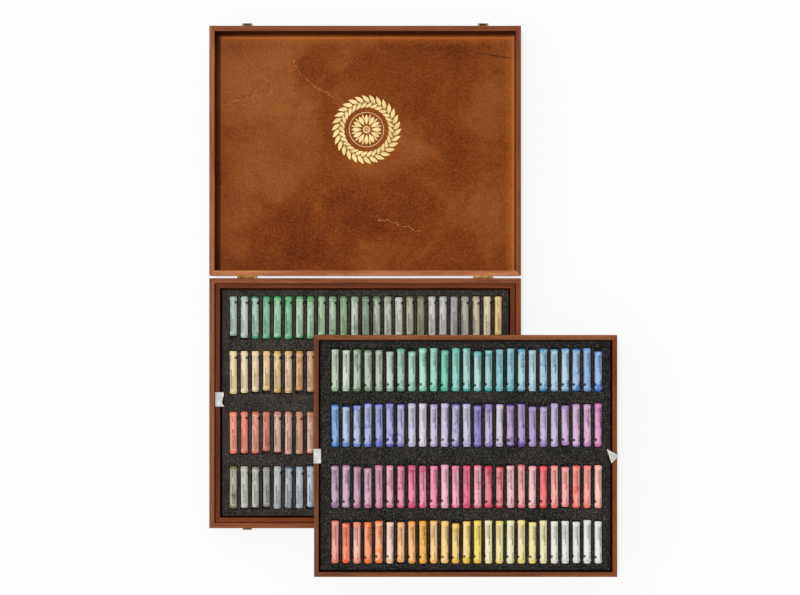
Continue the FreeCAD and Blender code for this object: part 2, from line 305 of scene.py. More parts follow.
# Places on the lid in metres: where the stain pooled dark or stayed pale, with its reach
# along X and Y and its strength, and the lines where it crackled.
POOLS = (((-0.070, 0.266), (0.110, 0.055), 0.30), ((0.040, 0.290), (0.120, 0.040), 0.16),
         ((0.075, 0.500), (0.130, 0.070), 0.12), ((-0.180, 0.500), (0.080, 0.080), -0.30),
         ((-0.190, 0.285), (0.060, 0.070), -0.16), ((0.170, 0.260), (0.080, 0.050), -0.12),
         ((0.185, 0.420), (0.070, 0.110), 0.16))
CRACKS = (((-0.188, 0.545), (-0.184, 0.533), (-0.170, 0.516), (-0.159, 0.500),
           (-0.148, 0.490), (-0.146, 0.480), (-0.153, 0.475)),
          ((-0.153, 0.475), (-0.179, 0.470), (-0.199, 0.465), (-0.216, 0.460)),
          ((-0.113, 0.526), (-0.104, 0.507), (-0.080, 0.487), (-0.047, 0.467)),
          ((0.020, 0.281), (0.052, 0.273), (0.084, 0.262)))
CRACK_WIDTH, STREAK_WIDTH = 1.15 * MM, 1.6 * MM
# Painted shade and light: each crack has a dark shaded lip on one side and a pale lit lip on the
# other.
CRACK_SHADED_AND_LIT_LIPS = ((-1, paint(74, 30, 8), 0.7), (1, paint(206, 138, 78), 0.6))  # side, colour, share
LID_STREAK, STREAK = ((0.164, 0.5395), (0.228, 0.5295)), paint(46, 18, 8)
# Painted light: orange strips of light reflected from the walls, along the lid's top and right inner
# edges.
GLOW_EDGES = (((-0.214, 0.5614), (0.235, 0.5614)), ((0.2278, 0.1980), (0.2278, 0.5700)))
GLOW_STRIPS = ((3.2 * MM, 0.65), (14 * MM, 0.38))     # width and share of each, one in the other
EDGE_GLOW_ORANGE = paint(214, 120, 46)


def line_mask(where, start, end, width, tapered=False, aside=0.0):
    """A ragged mark along a line from start to end, or a little aside of it to its left.

    A tapered mark fades away to its start.
    """
    start, end = Vector((*start, 0)), Vector((*end, 0))
    run = end - start
    from_start = where - tuple(start)
    along, across = (reckoned("DOT_PRODUCT", from_start, tuple(way))
                     for way in (run / run.length_squared,
                                 Vector((-run.y, run.x, 0)).normalized()))
    ragged = cloudy(where, 190.0, 3.0) * (width * 2)
    inside = graded(abs(across - aside), 0.0, ragged, 1.0, 0.0)
    started = graded(along, 0.0, 0.4) if tapered else graded(along, -0.06, 0.0)
    return inside * (started * graded(along, 1.0, 1.04, 1.0, 0.0))


def largest(values):
    """The largest of several values at each point."""
    return reduce(lambda one, other: reckoned("MAXIMUM", one, other), values)


def drifting(where, scale, detail, roughness, reach):
    """A place on a panel, moved aside by a cloudy drift and laid flat."""
    drift = cloudy(where, scale, detail, roughness, output="Color") - (0.5, 0.5, 0.5)
    return (where + drift * (reach, reach, 0.0)) * (1.0, 1.0, 0.0)


def pooled_stain(where):
    """How much darker the stain is where it pooled."""
    drifted = drifting(where, 16.0, 6.0, 0.65, 0.16)
    pools = []
    for (x, y), (reach_x, reach_y), strength in POOLS:
        far = reckoned("LENGTH", (drifted - (x, y, 0.0)) * (1 / reach_x, 1 / reach_y, 0.0))
        pools.append(graded(far, 0.75, 1.15, strength, 0.0))
    return sum(pools)


def stained_ply(name, is_lid=False):
    """Plywood under an uneven stain; on the lid, with painted shade and light at the cracks and
    painted light along two inner edges.
    """
    material, where = new_finish(name)
    clouds = cloudy(where, 7.0, 6.0, 0.60, 0.5)
    if is_lid:
        clouds = clouds - pooled_stain(where) * 0.5
    tone = mixed(graded(clouds, 0.28, 0.50), PLY_DEEP, PLY_MIDDLE)
    tone = mixed(graded(clouds, 0.46, 0.72), tone, PLY_PALE)
    coarse = cloudy(where * FLECK_STRETCH, 1.0, 4.0, 0.75)
    tone = mixed(graded(coarse, 0.50, 0.70, 0.0, 0.46), tone, PLY_FLECK)
    tone = mixed(graded(coarse, 0.50, 0.30, 0.0, 0.46), tone, PLY_PORE)
    height = coarse
    if is_lid:
        wandering = drifting(where, 90.0, 4.0, 0.5, 0.018)
        # Painted shade and light: a shaded lip beside each crack, and a lit lip on its other side.
        for side, colour, share in CRACK_SHADED_AND_LIT_LIPS:
            lines = [line_mask(wandering, start, end, CRACK_WIDTH, aside=side * CRACK_WIDTH / 2)
                     for points in CRACKS for start, end in zip(points, points[1:])]
            crackle = largest(lines)
            tone = mixed(crackle * share, tone, colour)
        height = coarse + crackle * 2.0
        streak = line_mask(where, *LID_STREAK, STREAK_WIDTH, tapered=True)
        tone = mixed(streak * 0.85, tone, STREAK)
        # Painted light: an orange glow reflected from the walls, along two inner edges.
        inner = graded(parts(surface(material.node_tree, "Normal"))[2], 0.5, 0.9)
        for start, end in GLOW_EDGES:
            for width, share in GLOW_STRIPS:
                strip = line_mask(where, start, end, width) * (inner * share)
                tone = mixed(strip, tone, EDGE_GLOW_ORANGE)
    return finished(material, {
        "Base Color": tone, "Roughness": graded(clouds, 0.3, 0.7, 0.62, 0.50),
        "Specular IOR Level": PLY_SHINE, "Normal": bumped(height, 0.05 * MM, 0.8)})


dress(["lid_panel"], stained_ply("lid_ply", is_lid=True))
dress(["case_floor_panel"], stained_ply("floor_ply"))

# ----------------------------------------
# Foil ornament in the lid.
# A plain wreath with a rosette, hot-stamped in matt gold foil on the inside of the lid's
# top. The foil is hair-thin and lies on the stained ply.
# ----------------------------------------

FOIL_THICKNESS = 0.08 * MM
FOIL_SINK = 0.02 * MM
ORNAMENT_CENTRE = (0.0014, 0.4200)
LEAF_SIDES = 7


def new_mesh(name, corners, faces=(), smooth=False):
    """A mesh from its corners and faces."""
    mesh = bpy.data.meshes.new(name)
    mesh.from_pydata(corners, [], faces)
    mesh.polygons.foreach_set("use_smooth", [smooth] * len(mesh.polygons))
    return mesh


def new_object(name, mesh):
    """An object at the origin, in the scene."""
    obj = bpy.data.objects.new(name, mesh)
    bpy.context.scene.collection.objects.link(obj)
    return obj


def settled(obj):
    """Keeps the evaluated shape of an object as its plain mesh, and drops its modifiers."""
    graph = bpy.context.evaluated_depsgraph_get()
    mesh = bpy.data.meshes.new_from_object(obj.evaluated_get(graph))
    obj.modifiers.clear()
    obj.data = mesh
    return obj


def with_tree(obj, tree, values):
    """Runs a Geometry Nodes tree on an object, with its named inputs set."""
    modifier = obj.modifiers.new(tree.name, "NODES")
    modifier.node_group = tree
    for socket in tree.interface.items_tree:
        if socket.in_out == "INPUT" and socket.name in values:
            modifier[socket.identifier] = values[socket.name]
    return settled(obj)


def vector_of(x, y, z):
    """A vector from its parts."""
    return Value(put("ShaderNodeCombineXYZ", {0: x, 1: y, 2: z}))


def set_on(points, pattern, **turn_and_scale):
    """A pattern set on each point, as one real mesh."""
    laid = put("GeometryNodeInstanceOnPoints",
               {"Points": points, "Instance": pattern, **turn_and_scale})
    return Value(put("GeometryNodeRealizeInstances", {0: Value(laid)}))


def coated(ends, shape, finish):
    """Ends a Geometry Nodes tree with a shape in its finish."""
    done = put("GeometryNodeSetMaterial", {"Geometry": shape, "Material": finish})
    fill(ends, {0: Value(done)})


def wreath_tree():
    """Geometry Nodes: one flat leaf, set round a circle."""
    tree, given, ends = new_group(
        "ring of leaves", "Geometry",
        {"Leaf": "Geometry", "Count": "Int", "Ring Radius": "Float", "Lean": "Float",
         "Start": "Float", "Height": "Float", "Foil": "Material"}, {"Ring": "Geometry"})
    circle = Value(put("GeometryNodeMeshCircle", {"Vertices": given["Count"],
                                                  "Radius": given["Ring Radius"]}))
    x, y, _ = parts(Value(put("GeometryNodeInputPosition", tree=tree)))
    turn = vector_of(0.0, 0.0, reckoned("ARCTAN2", y, x) + given["Lean"])
    placed = put("GeometryNodeTransform",
                 {"Geometry": set_on(circle, given["Leaf"], Rotation=turn),
                  "Rotation": vector_of(0.0, 0.0, given["Start"]),
                  "Translation": vector_of(*ORNAMENT_CENTRE, given["Height"])})
    coated(ends, Value(placed), given["Foil"])
    return tree


def leaf_outline(length, width, tip):
    """A leaf along +X from the origin; tip sets how far out its widest place lies."""
    upper = []
    for step in range(LEAF_SIDES + 1):
        share = step / LEAF_SIDES
        swell = math.sin(math.pi * share ** tip)
        upper.append((length * share, width / 2 * swell))
    return upper + [(x, -y) for x, y in upper[-2:0:-1]]


def circle_points(radius, count):
    """Equal steps round a circle."""
    angles = [2 * math.pi * i / count for i in range(count)]
    return [(radius * math.cos(angle), radius * math.sin(angle)) for angle in angles]


def flat_shape(name, outline, hole=()):
    """A thin solid with the outline, and a hole of as many steps where one is given."""
    loop, count = [*outline, *hole], len(outline)
    corners = [(x, y, z) for z in (0.0, FOIL_THICKNESS) for x, y in loop]
    faces = []
    for i in range(count):
        j, top = (i + 1) % count, len(loop)
        faces.append((i, j, top + j, top + i))
        if hole:
            inner_i, inner_j = count + i, count + j
            faces += [(i, inner_i, inner_j, j), (top + j, top + inner_j, top + inner_i, top + i),
                      (inner_j, inner_i, top + inner_i, top + inner_j)]
    if not hole:
        faces += [tuple(reversed(range(count))), tuple(range(count, 2 * count))]
    return new_mesh(name, corners, faces)


def gold_foil():
    """Matt gold foil, with pinholes where the stamp missed the grain."""
    material, where = new_finish("gold_foil")
    missed = graded(cloudy(where, 900.0, 2.0), 0.66, 0.72)
    tone = mixed(graded(cloudy(where, 60.0, 4.0), 0.35, 0.65), paint(204, 178, 104),
                 paint(232, 208, 136))
    return finished(material, {
        "Base Color": mixed(missed, tone, PLY_MIDDLE), "Metallic": 0.15,
        "Roughness": graded(missed, 0.0, 1.0, 0.42, 0.6),
        "Normal": bumped(cloudy(where, 700.0, 2.0), 0.02 * MM)})


def joined(name, pieces, material):
    """One object from several, with the others removed."""
    corners, faces = [], []
    for piece in pieces:
        start = len(corners)
        corners += [tuple(v.co) for v in piece.data.vertices]
        faces += [tuple(start + i for i in face.vertices) for face in piece.data.polygons]
        bpy.data.objects.remove(piece)
    mesh = new_mesh(name, corners, faces)
    mesh.materials.append(material)
    return new_object(name, mesh)


foil = gold_foil()
foil_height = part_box("lid_panel")[1][2] - FOIL_SINK
leaf_ring = wreath_tree()
ring_plan = (
    # name, outline, hole, count, ring radius, lean, start
    ("outer_leaves", leaf_outline(15.5 * MM, 6.2 * MM, 0.80), (), 30, 43 * MM, 0.95, 0.0),
    ("inner_leaves", leaf_outline(12.5 * MM, 5.0 * MM, 0.80), (), 30, 41 * MM, 2.3, 0.1),
    ("berries", circle_points(1.1 * MM, 12), (), 30, 42 * MM, 0.0, 0.052),
    ("stem", circle_points(42.3 * MM, 96), circle_points(41.5 * MM, 96), 1, 0.0, 0.0, 0.0),
    ("border", circle_points(27.0 * MM, 96), circle_points(26.2 * MM, 96), 1, 0.0, 0.0, 0.0),
    ("petals", leaf_outline(15.5 * MM, 6.6 * MM, 1.15), (), 12, 7.5 * MM, 0.0, 0.0),
    ("sepals", leaf_outline(9.0 * MM, 2.2 * MM, 1.0), (), 12, 15.5 * MM, 0.0, 0.262),
    ("heart", circle_points(5.6 * MM, 40), circle_points(3.4 * MM, 40), 1, 0.0, 0.0, 0.0),
    ("eye", circle_points(1.8 * MM, 24), (), 1, 0.0, 0.0, 0.0))
rings = []
for ring_name, outline, hole, count, radius, lean, start in ring_plan:
    ring = new_object(ring_name, flat_shape(ring_name, outline, hole))
    if count == 1:
        ring.data.transform(Matrix.Translation((*ORNAMENT_CENTRE, foil_height)))
    else:
        with_tree(ring, leaf_ring, {"Count": count, "Ring Radius": radius, "Lean": lean,
                                    "Start": start, "Height": foil_height, "Foil": foil})
    rings.append(ring)
ornament = joined("foil_ornament", rings, foil)
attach(ornament, "lid")

# ----------------------------------------
# Hinges with their pins and screws.
# Two butt hinges of brass strip, rolled into five knuckles round a steel pin and screwed
# to the boards. The brass is dull all over, and the left hinge is tarnished darker.
# ----------------------------------------

METAL_WEAR = 0.8
SCRATCH_STRETCH = (240.0, 5200.0, 2600.0)


def worn_metal(name, bright, dull, metallic, smooth, rough):
    """Sheet metal with a clouded surface, fine scratches and bright edges."""
    material, where = new_finish(name)
    clouds = cloudy(where, 130.0, 5.0, 0.6, 0.4)
    lines = cloudy(where * SCRATCH_STRETCH, 1.0, 3.0, 0.7)
    tone = mixed(graded(clouds, 0.36, 0.62), dull, bright)
    tone = mixed(graded(lines, 0.58, 0.68, 0.0, 0.30), tone, bright)
    return finished(material, {
        "Base Color": mixed(rubbed(material.node_tree, METAL_WEAR), tone, bright),
        "Metallic": metallic,
        "Roughness": graded(clouds, 0.35, 0.65, rough, smooth),
        "Normal": bumped(lines, 0.015 * MM)})


brass = worn_metal("dulled_brass", paint(208, 168, 104), paint(134, 98, 48), 0.85, 0.30, 0.46)
pin_steel = worn_metal("pin_steel", paint(196, 194, 188), paint(140, 138, 132), 0.95, 0.28, 0.42)
tarnished_brass = worn_metal("tarnished_brass", paint(164, 124, 66), paint(92, 66, 30), 0.85,
                             0.34, 0.50)
for part in ("case", "lid"):
    dress([f"left_hinge_{part}_leaf"], tarnished_brass)
    dress([f"right_hinge_{part}_leaf", f"hinge_{part}_screws"], brass)
dress([f"{side}_{what}_pin" for side in ("left", "right") for what in ("hinge", "latch")],
      pin_steel)

# ----------------------------------------
# Latches.
# A hooked lever turns on a pin between two lugs of a plate on the lid, and snaps over the
# ridge of a strike on the case. The brass is browned dark, and wears bright at the edges.
# ----------------------------------------

bronze = worn_metal("dark_bronze", paint(92, 76, 52), paint(38, 33, 24), 0.75, 0.34, 0.50)
plate_bronze = worn_metal("plate_bronze", paint(150, 122, 74), paint(62, 52, 34), 0.75, 0.32,
                          0.48)
for side in ("left", "right"):
    dress([f"{side}_latch_lever", f"{side}_latch_strike"], bronze)
    dress([f"{side}_latch_plate"], plate_bronze)
dress(["latch_plate_screws", "latch_strike_screws"], bronze)

# ----------------------------------------
# Trays.
# Each is a mitred beech frame round a thin ply board, stained darker than the case. The
# lower tray is redder and darker than the upper one, as painted shade inside the case.
# ----------------------------------------

TRAY_PALE, TRAY_DEEP, TRAY_BARE = (146, 84, 44), (94, 46, 18), (178, 118, 76)
# Each board's share of red, green and blue is partly its own stain and partly painted light and
# shade; the lower tray's are painted darker and redder, as the shade inside the case.
TRAY_BOARDS = {
    "lower_tray": (("front_wall", (1.05, 0.88, 0.60)), ("back_wall", (0.95, 0.80, 0.48)),
                   ("left_wall", (0.86, 0.70, 0.46)), ("right_wall", (1.00, 0.80, 0.42))),
    "upper_tray": (("front_wall", (1.03, 1.05, 1.04)), ("back_wall", (1.10, 1.18, 1.26)),
                   ("left_wall", (0.98, 0.96, 0.92)), ("right_wall", (1.08, 1.07, 0.96)))}
tray_ply = stained_ply("tray_ply")
for tray, boards in TRAY_BOARDS.items():
    boards_stained_and_shaded([(f"{tray}_{board}", shade) for board, shade in boards],
                   TRAY_PALE, TRAY_DEEP, TRAY_BARE)
    dress([f"{tray}_board"], tray_ply)

# ----------------------------------------
# Foam beds.
# Charcoal foam, cut with one round-bottomed pocket for each stick and laid in the tray.
# The knife leaves a soft lip, and the cells are fine and dull.
# ----------------------------------------

STICK_ROWS = (1, 2, 3, 4)
STICKS_PER_ROW = 25
POCKET_CLEARANCE = 0.55 * MM
POCKET_END_CLEARANCE = 0.5 * MM
BLOCK_EDGE, BLOCK_EDGE_DROP = 0.6 * MM, 0.45 * MM
WOBBLE, WOBBLE_SCALE = 0.07 * MM, 260
LIP_STEPS = ((1.1, 0.0), (0.5, 0.12), (0.15, 0.55))       # out of the pocket, and down, in mm
TROUGH_STEPS = (1.0, 0.95, 0.80, 0.45)                     # shares of the pocket's radius
LENGTH_STEPS = (1.0, 0.99, 0.40)                           # shares of the pocket's half length
# The lower tray's foam is dustier than the upper one's.
FOAM_TONES = {"lower_tray": (paint(62, 55, 51), paint(42, 37, 34)),
              "upper_tray": (paint(42, 39, 36), paint(24, 24, 23))}


def row_frame(tray, row):
    """The sticks of a row: radius, length, first axis, pitch, middle and height."""
    low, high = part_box(f"{tray}_sticks_row_{row}")
    radius = (high[2] - low[2]) / 2
    first = low[0] + radius
    return SimpleNamespace(
        radius=radius, length=high[1] - low[1], middle=(low[1] + high[1]) / 2,
        height=low[2] + radius, first=first,
        pitch=(high[0] - radius - first) / (STICKS_PER_ROW - 1))


def foam_lines(low, high, centres, half_width, shares):
    """Grid lines across the foam, with the drop of the surface and the share at each one."""
    half = [(half_width + out * MM, down * MM, None) for out, down in LIP_STEPS]
    half += [(half_width * share, None, share) for share in shares]
    lines = [(low, BLOCK_EDGE_DROP, None), (low + BLOCK_EDGE, 0.0, None)]
    for centre in centres:
        lines += [(centre - out, down, share) for out, down, share in half]
        lines.append((centre, None, 0.0))
        lines += [(centre + out, down, share) for out, down, share in reversed(half)]
    return lines + [(high - BLOCK_EDGE, 0.0, None), (high, BLOCK_EDGE_DROP, None)]


def grid_faces(wide, deep):
    """The squares between corners that lie in rows."""
    return [(i, i + 1, i + wide + 1, i + wide)
            for j in range(deep - 1) for i in range(j * wide, (j + 1) * wide - 1)]


def foam_bed(tray):
    """The foam block of a tray, as one closed mesh."""
    low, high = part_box(f"{tray}_foam")
    rows = [row_frame(tray, row) for row in STICK_ROWS]
    stick = rows[0]
    radius = stick.radius + POCKET_CLEARANCE
    across = foam_lines(low[0], high[0], [stick.first + stick.pitch * i
                                          for i in range(STICKS_PER_ROW)], radius, TROUGH_STEPS)
    along = foam_lines(low[1], high[1], sorted(row.middle for row in rows),
                       stick.length / 2 + POCKET_END_CLEARANCE, LENGTH_STEPS)
    corners = []
    for y, down_y, _ in along:
        for x, down_x, share in across:
            drops = [down for down in (down_x, down_y) if down is not None]
            if drops:
                drop = max(drops) if all(drops) else 0.0
            else:
                drop = high[2] - stick.height + radius * math.sqrt(1 - share * share)
            wobble = WOBBLE * (noise.noise(Vector((x, y, 0.0)) * WOBBLE_SCALE) - 1)
            corners.append((x, y, high[2] - drop + wobble))
    wide, deep = len(across), len(along)
    faces = grid_faces(wide, deep)
    foot, back_left = wide * deep, wide * (deep - 1)
    rim = [*range(wide - 1), *range(wide - 1, foot - 1, wide),
           *range(foot - 1, back_left, -1), *range(back_left, 0, -wide)]
    corners += [(corners[i][0], corners[i][1], low[2]) for i in rim]
    count = len(rim)
    for i in range(count):
        j = (i + 1) % count
        faces.append((rim[j], rim[i], foot + i, foot + j))
    faces.append(tuple(foot + i for i in reversed(range(count))))
    mesh = new_mesh(f"{tray}_foam_bed", corners, faces, smooth=True)
    mesh.set_sharp_from_angle(angle=math.radians(50))
    return new_object(f"{tray}_foam_bed", mesh)


def cut_foam(name, pale, deep):
    """Charcoal foam with fine pale cell walls and dust of pastel, and its open cells' pits painted
    near black as shade.
    """
    material, where = new_finish(name)
    tone = mixed(graded(cloudy(where, 26.0, 5.0), 0.35, 0.65), deep, pale)
    specks = graded(cloudy(where, 540.0, 3.0, 0.75), 0.515, 0.67)
    tone = mixed(specks * 0.58, tone, paint(136, 132, 124))
    cells = Value(put("ShaderNodeTexVoronoi", {"Vector": where, "Scale": 380.0}), "Distance")
    # Painted shade: the pits of the open cells are darkened nearly to black.
    shaded_pits = graded(cells, 0.14, 0.44, 1.0, 0.0)
    return finished(material, {
        "Base Color": mixed(shaded_pits * 0.85, tone, paint(6, 6, 6)),
        "Roughness": graded(specks, 0.0, 1.0, 0.92, 0.7), "Specular IOR Level": 0.12,
        "Normal": bumped(specks - shaded_pits, 0.18 * MM, 0.8)})


for tray, tones in FOAM_TONES.items():
    bed = foam_bed(tray)
    bed.data.materials.append(cut_foam(f"{tray}_cut_foam", *tones))
    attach(bed, tray)
    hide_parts(f"{tray}_foam")

# ----------------------------------------
# Pastel sticks.
# Pigment and chalk pressed into a round stick with soft ends. Each row is one made piece,
# coloured from the leading pigment by how much chalk went into the mix.
# ----------------------------------------

# Red, green and blue of each pigment without chalk.
PIGMENTS = {
    "leaf": (100, 160, 90), "sage": (105, 135, 105), "green": (60, 180, 105),
    "teal": (70, 115, 105), "mint": (60, 190, 140), "jade": (20, 170, 150),
    "aqua": (30, 150, 175), "cerulean": (40, 130, 185), "azure": (40, 110, 205),
    "ultra": (40, 50, 190), "iris": (95, 80, 190), "violet": (90, 50, 150),
    "lilac": (150, 125, 190), "indigo": (45, 45, 90), "steel": (40, 85, 140),
    "plum": (110, 50, 120), "orchid": (185, 80, 165), "rose": (195, 60, 100),
    "pink": (250, 60, 130), "wine": (110, 25, 60), "crimson": (205, 30, 65),
    "scarlet": (245, 45, 50), "vermilion": (250, 75, 50), "coral": (250, 120, 90),
    "brick": (175, 80, 55), "sienna": (190, 105, 50), "orange": (255, 120, 50),
    "marigold": (255, 155, 35), "yolk": (255, 190, 40), "gold": (225, 170, 60),
    "lemon": (250, 220, 65), "ochre": (205, 150, 85), "sand": (190, 150, 105),
    "umber": (110, 80, 55), "olive": (110, 110, 65), "smoke": (90, 95, 90),
    "chalk": (230, 230, 228)}
CHALK = (246, 246, 243)
# A set is laid out by hue: a row runs through these pigments at even steps, and how much
# chalk went into a stick, and how much its sleeve was handled, falls by chance.
ROW_PIGMENTS = {
    "upper_tray": ("leaf sage mint jade aqua cerulean azure",
                   "azure ultra lilac iris violet lilac orchid",
                   "plum rose pink crimson scarlet coral",
                   "vermilion orange marigold yolk lemon lemon chalk chalk"),
    "lower_tray": ("teal green leaf sage olive smoke gold",
                   "yolk gold sienna ochre umber brick sand",
                   "coral brick sienna wine umber sand brick",
                   "olive smoke steel indigo smoke umber sand sage")}
TRAY_ROWS = [(tray, row) for tray in TRAY_BOARDS for row in STICK_ROWS]
CHALK_CHANCES = (0.05, 0.15, 0.34, 0.34, 0.60)
HANDLED_CHANCES = (1.0, 1.0, 1.0, 0.76, 0.52)        # how much white a sleeve still shows
PAPER, ROSY_PAPER = (236, 235, 232), (255, 233, 228)
PAPER_SHARE = (0.68, 0.46)                           # in a dark or cool tint, and in a warm one
WORN_SHARES = (0.0, 0.01, 0.02, 0.03, 0.05, 0.08)    # how much of its length a stick has lost
THIN_SHARES = (0.94, 1.0)
SLEEVE_SLIP = (-0.1 * MM, 1.6 * MM)                  # away from the end with the printed dot
SIDE_PLAY = 0.15 * MM
PITCHED, SKEWED = 0.25, 0.5                          # how far a stick turns about X and Z, in degrees
TINT_LUCK = 0.05
PRINT_TURNS = (-0.40, 0.25)                          # how far the printing is rolled round
DASH_STARTS = (0, 90)                                # where its broken rules begin
DENT_STRETCH = (330.0, 120.0, 330.0)
ROUND_SIDES = 10
WAIST = 0.92                                         # the middle's share of the ends' radius
# Rings along a stick: shares of its length and of its radius.
STICK_PROFILE = ((-0.5, 0.90), (-0.490, 1.0), (-0.435, WAIST), (0.435, WAIST), (0.490, 1.0),
                 (0.5, 0.90))


def blended(first, second, share):
    """A colour between two, mixed as paint."""
    return tuple(a * (1 - share) + b * share for a, b in zip(first, second))


def row_mixes(tray, row):
    """The pressed colour and the sleeve's whiteness of each stick in a row."""
    pigments = [PIGMENTS[name] for name in ROW_PIGMENTS[tray][row - 1].split()]
    chance = random.Random(f"{tray} {row} mixes")
    mixes = []
    for i in range(STICKS_PER_ROW):
        place = i * (len(pigments) - 1) / (STICKS_PER_ROW - 1)
        step = min(int(place), len(pigments) - 2)
        hue = blended(pigments[step], pigments[step + 1], place - step)
        mixes.append((blended(hue, CHALK, chance.choice(CHALK_CHANCES)),
                      chance.choice(HANDLED_CHANCES)))
    return mixes


def sleeve_colour(core, handled, luck):
    """The tint of the paper round a mix: reds and yellows are tinted deeper than the rest."""
    warm = min(1.0, core[0] / 240)
    ruddy = min(1.0, max(0.0, (core[0] - core[1]) / 100))
    white = PAPER_SHARE[0] * (1 - warm) + PAPER_SHARE[1] * warm
    tinted = blended(core, blended(PAPER, ROSY_PAPER, ruddy), white * handled + luck)
    return tuple(min(255.0, value) for value in tinted)


def turned_profile(name, profile, closed_ends):
    """A round piece along Y from rings, each a share of the length and of the radius."""
    corners, places, faces, sides = [], [], [], ROUND_SIDES
    for along, across in profile:
        for i in range(sides):
            angle = 2 * math.pi * (i + 0.5) / sides
            corners.append((across * math.sin(angle), along, across * math.cos(angle)))
            places += (math.sin(angle), along, math.cos(angle))
    rings = len(profile)
    for ring in range(rings - 1 if closed_ends else rings):
        for i in range(sides):
            j, k = (i + 1) % sides, (ring + 1) % rings
            faces.append((ring * sides + i, ring * sides + j, k * sides + j, k * sides + i))
    if closed_ends:
        faces.append(tuple(reversed(range(sides))))
        faces.append(tuple((rings - 1) * sides + i for i in range(sides)))
    mesh = new_mesh(name, corners, faces, smooth=True)
    mesh.attributes.new("on_stick", "FLOAT_VECTOR", "POINT").data.foreach_set("vector", places)
    return new_object(name, mesh)


def laid_row_tree():
    """Geometry Nodes: one pattern piece laid at each stick's place, then dented by hand."""
    tree, given, ends = new_group(
        "laid row", "Geometry",
        {"Places": "Geometry", "Pattern": "Object", "Radius": "Float", "Length": "Float",
         "Dent": "Float", "Flare": "Float", "Seed": "Float", "Finish": "Material"},
        {"Row": "Geometry"})

    def held(name):
        return Value(put("GeometryNodeInputNamedAttribute", {0: name}, tree,
                         data_type="FLOAT_VECTOR"))

    pattern = Value(put("GeometryNodeObjectInfo", {"Object": given["Pattern"]}), "Geometry")
    size = vector_of(given["Radius"], given["Length"], given["Radius"])
    laid = set_on(given["Places"], pattern, Rotation=held("turn"), Scale=size * held("size"))
    spot = (Value(put("GeometryNodeInputPosition", tree=tree))
            + vector_of(0.0, 0.0, given["Seed"]))
    x, y, z = parts(held("on_stick"))
    dents = cloudy(spot * DENT_STRETCH, 1.0, 2.0, 0.5)
    denting = graded(dents, 0.3, 0.7) * given["Dent"]
    at_end, open_side = graded(abs(y), 0.42, 0.5), graded(z, -0.45, 0.25)
    mark_end = graded(y * parts(held("printing"))[0], -0.1, 0.1, 1.0, 0.75)
    ragged = graded(cloudy(spot, 210.0, 3.0, 0.5), 0.30, 0.65, 0.45, 1.15)
    flaring = at_end * open_side * (ragged * mark_end) * given["Flare"]
    spreading = vector_of(x * 1.3, 0.0, z * 0.3 + abs(x) * 0.7)
    dented = put("GeometryNodeSetPosition", {
        "Geometry": laid, "Offset": vector_of(x, 0.0, z) * denting + spreading * flaring})
    coated(ends, Value(dented), given["Finish"])
    return tree


def row_places(tray, row, sleeved):
    """Points at the middle of each stick, with its colours, its turn and its size."""
    stick = row_frame(tray, row)
    dice = random.Random(f"{tray} {row}")
    facing = 1.0 if tray == "upper_tray" else -1.0
    values = {"core_colour": [], "paper_colour": [], "turn": [], "size": [], "printing": []}
    centres = []
    for i, (core, handled) in enumerate(row_mixes(tray, row)):
        worn = dice.choice(WORN_SHARES)
        thin = dice.uniform(*THIN_SHARES)
        rest = worn / 2 - dice.uniform(0.0, worn) * dice.choice((0.0, 0.0, 0.4))
        slip = facing * dice.uniform(*SLEEVE_SLIP)
        centres.append((stick.first + i * stick.pitch + dice.uniform(-1, 1) * SIDE_PLAY,
                        stick.middle - facing * rest * stick.length + (slip if sleeved else 0.0),
                        stick.height - (1 - thin) * stick.radius))
        values["core_colour"] += paint(*core)
        values["paper_colour"] += paint(*sleeve_colour(core, handled,
                                                       dice.uniform(-TINT_LUCK, TINT_LUCK)))
        values["turn"] += (math.radians(dice.uniform(-PITCHED, PITCHED)), 0.0,
                           math.radians(dice.uniform(-SKEWED, SKEWED)))
        values["size"] += (thin, 1.0 - worn, thin)
        values["printing"] += (facing, dice.uniform(*PRINT_TURNS), dice.uniform(*DASH_STARTS))
    mesh = new_mesh("places", centres)
    for name, numbers in values.items():
        kind, what = ("COLOR", "color") if name.endswith("colour") else ("VECTOR", "vector")
        mesh.attributes.new(name, f"FLOAT_{kind}", "POINT").data.foreach_set(what, numbers)
    return mesh


def carried(material, name, what):
    """A Color or Vector that a piece carries from its row."""
    return Value(put("ShaderNodeAttribute", tree=material.node_tree, attribute_name=name), what)


def pressed_pastel():
    """Dry pressed pigment: matt, dusty, with grains and rubbed ends."""
    material, where = new_finish("pressed_pastel")
    dust = graded(cloudy(where, 420.0, 4.0), 0.40, 0.68)
    tone = mixed(dust * 0.08, carried(material, "core_colour", "Color"), paint(*CHALK))
    grains = cloudy(where, 2600.0, 2.0)
    tone = mixed(graded(grains, 0.60, 0.72, 0.0, 0.22), tone, paint(40, 36, 40))
    return finished(material, {
        "Base Color": tone, "Roughness": graded(dust, 0.0, 1.0, 0.82, 0.97),
        "Specular IOR Level": 0.12, "Normal": bumped(grains, 0.10 * MM, 0.8)})


laid_row = laid_row_tree()
pastel = pressed_pastel()
stick_pattern = turned_profile("stick_pattern", STICK_PROFILE, closed_ends=True)
for tray, row in TRAY_ROWS:
    size = row_frame(tray, row)
    sticks = new_object(f"{tray}_pastels_{row}", row_places(tray, row, sleeved=False))
    with_tree(sticks, laid_row, {
        "Pattern": stick_pattern, "Radius": size.radius, "Length": size.length,
        "Dent": -0.06 * MM, "Flare": 0.0, "Seed": float(row), "Finish": pastel})
    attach(sticks, tray)
    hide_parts(f"{tray}_sticks_row_{row}")
bpy.data.objects.remove(stick_pattern)

# ----------------------------------------
# Paper sleeves.
# Thin paper tinted to match the mix, rolled round the stick and pasted along one seam. It
# is printed with plain rules, stands off ragged at the ends, and is smudged by handling.
# ----------------------------------------

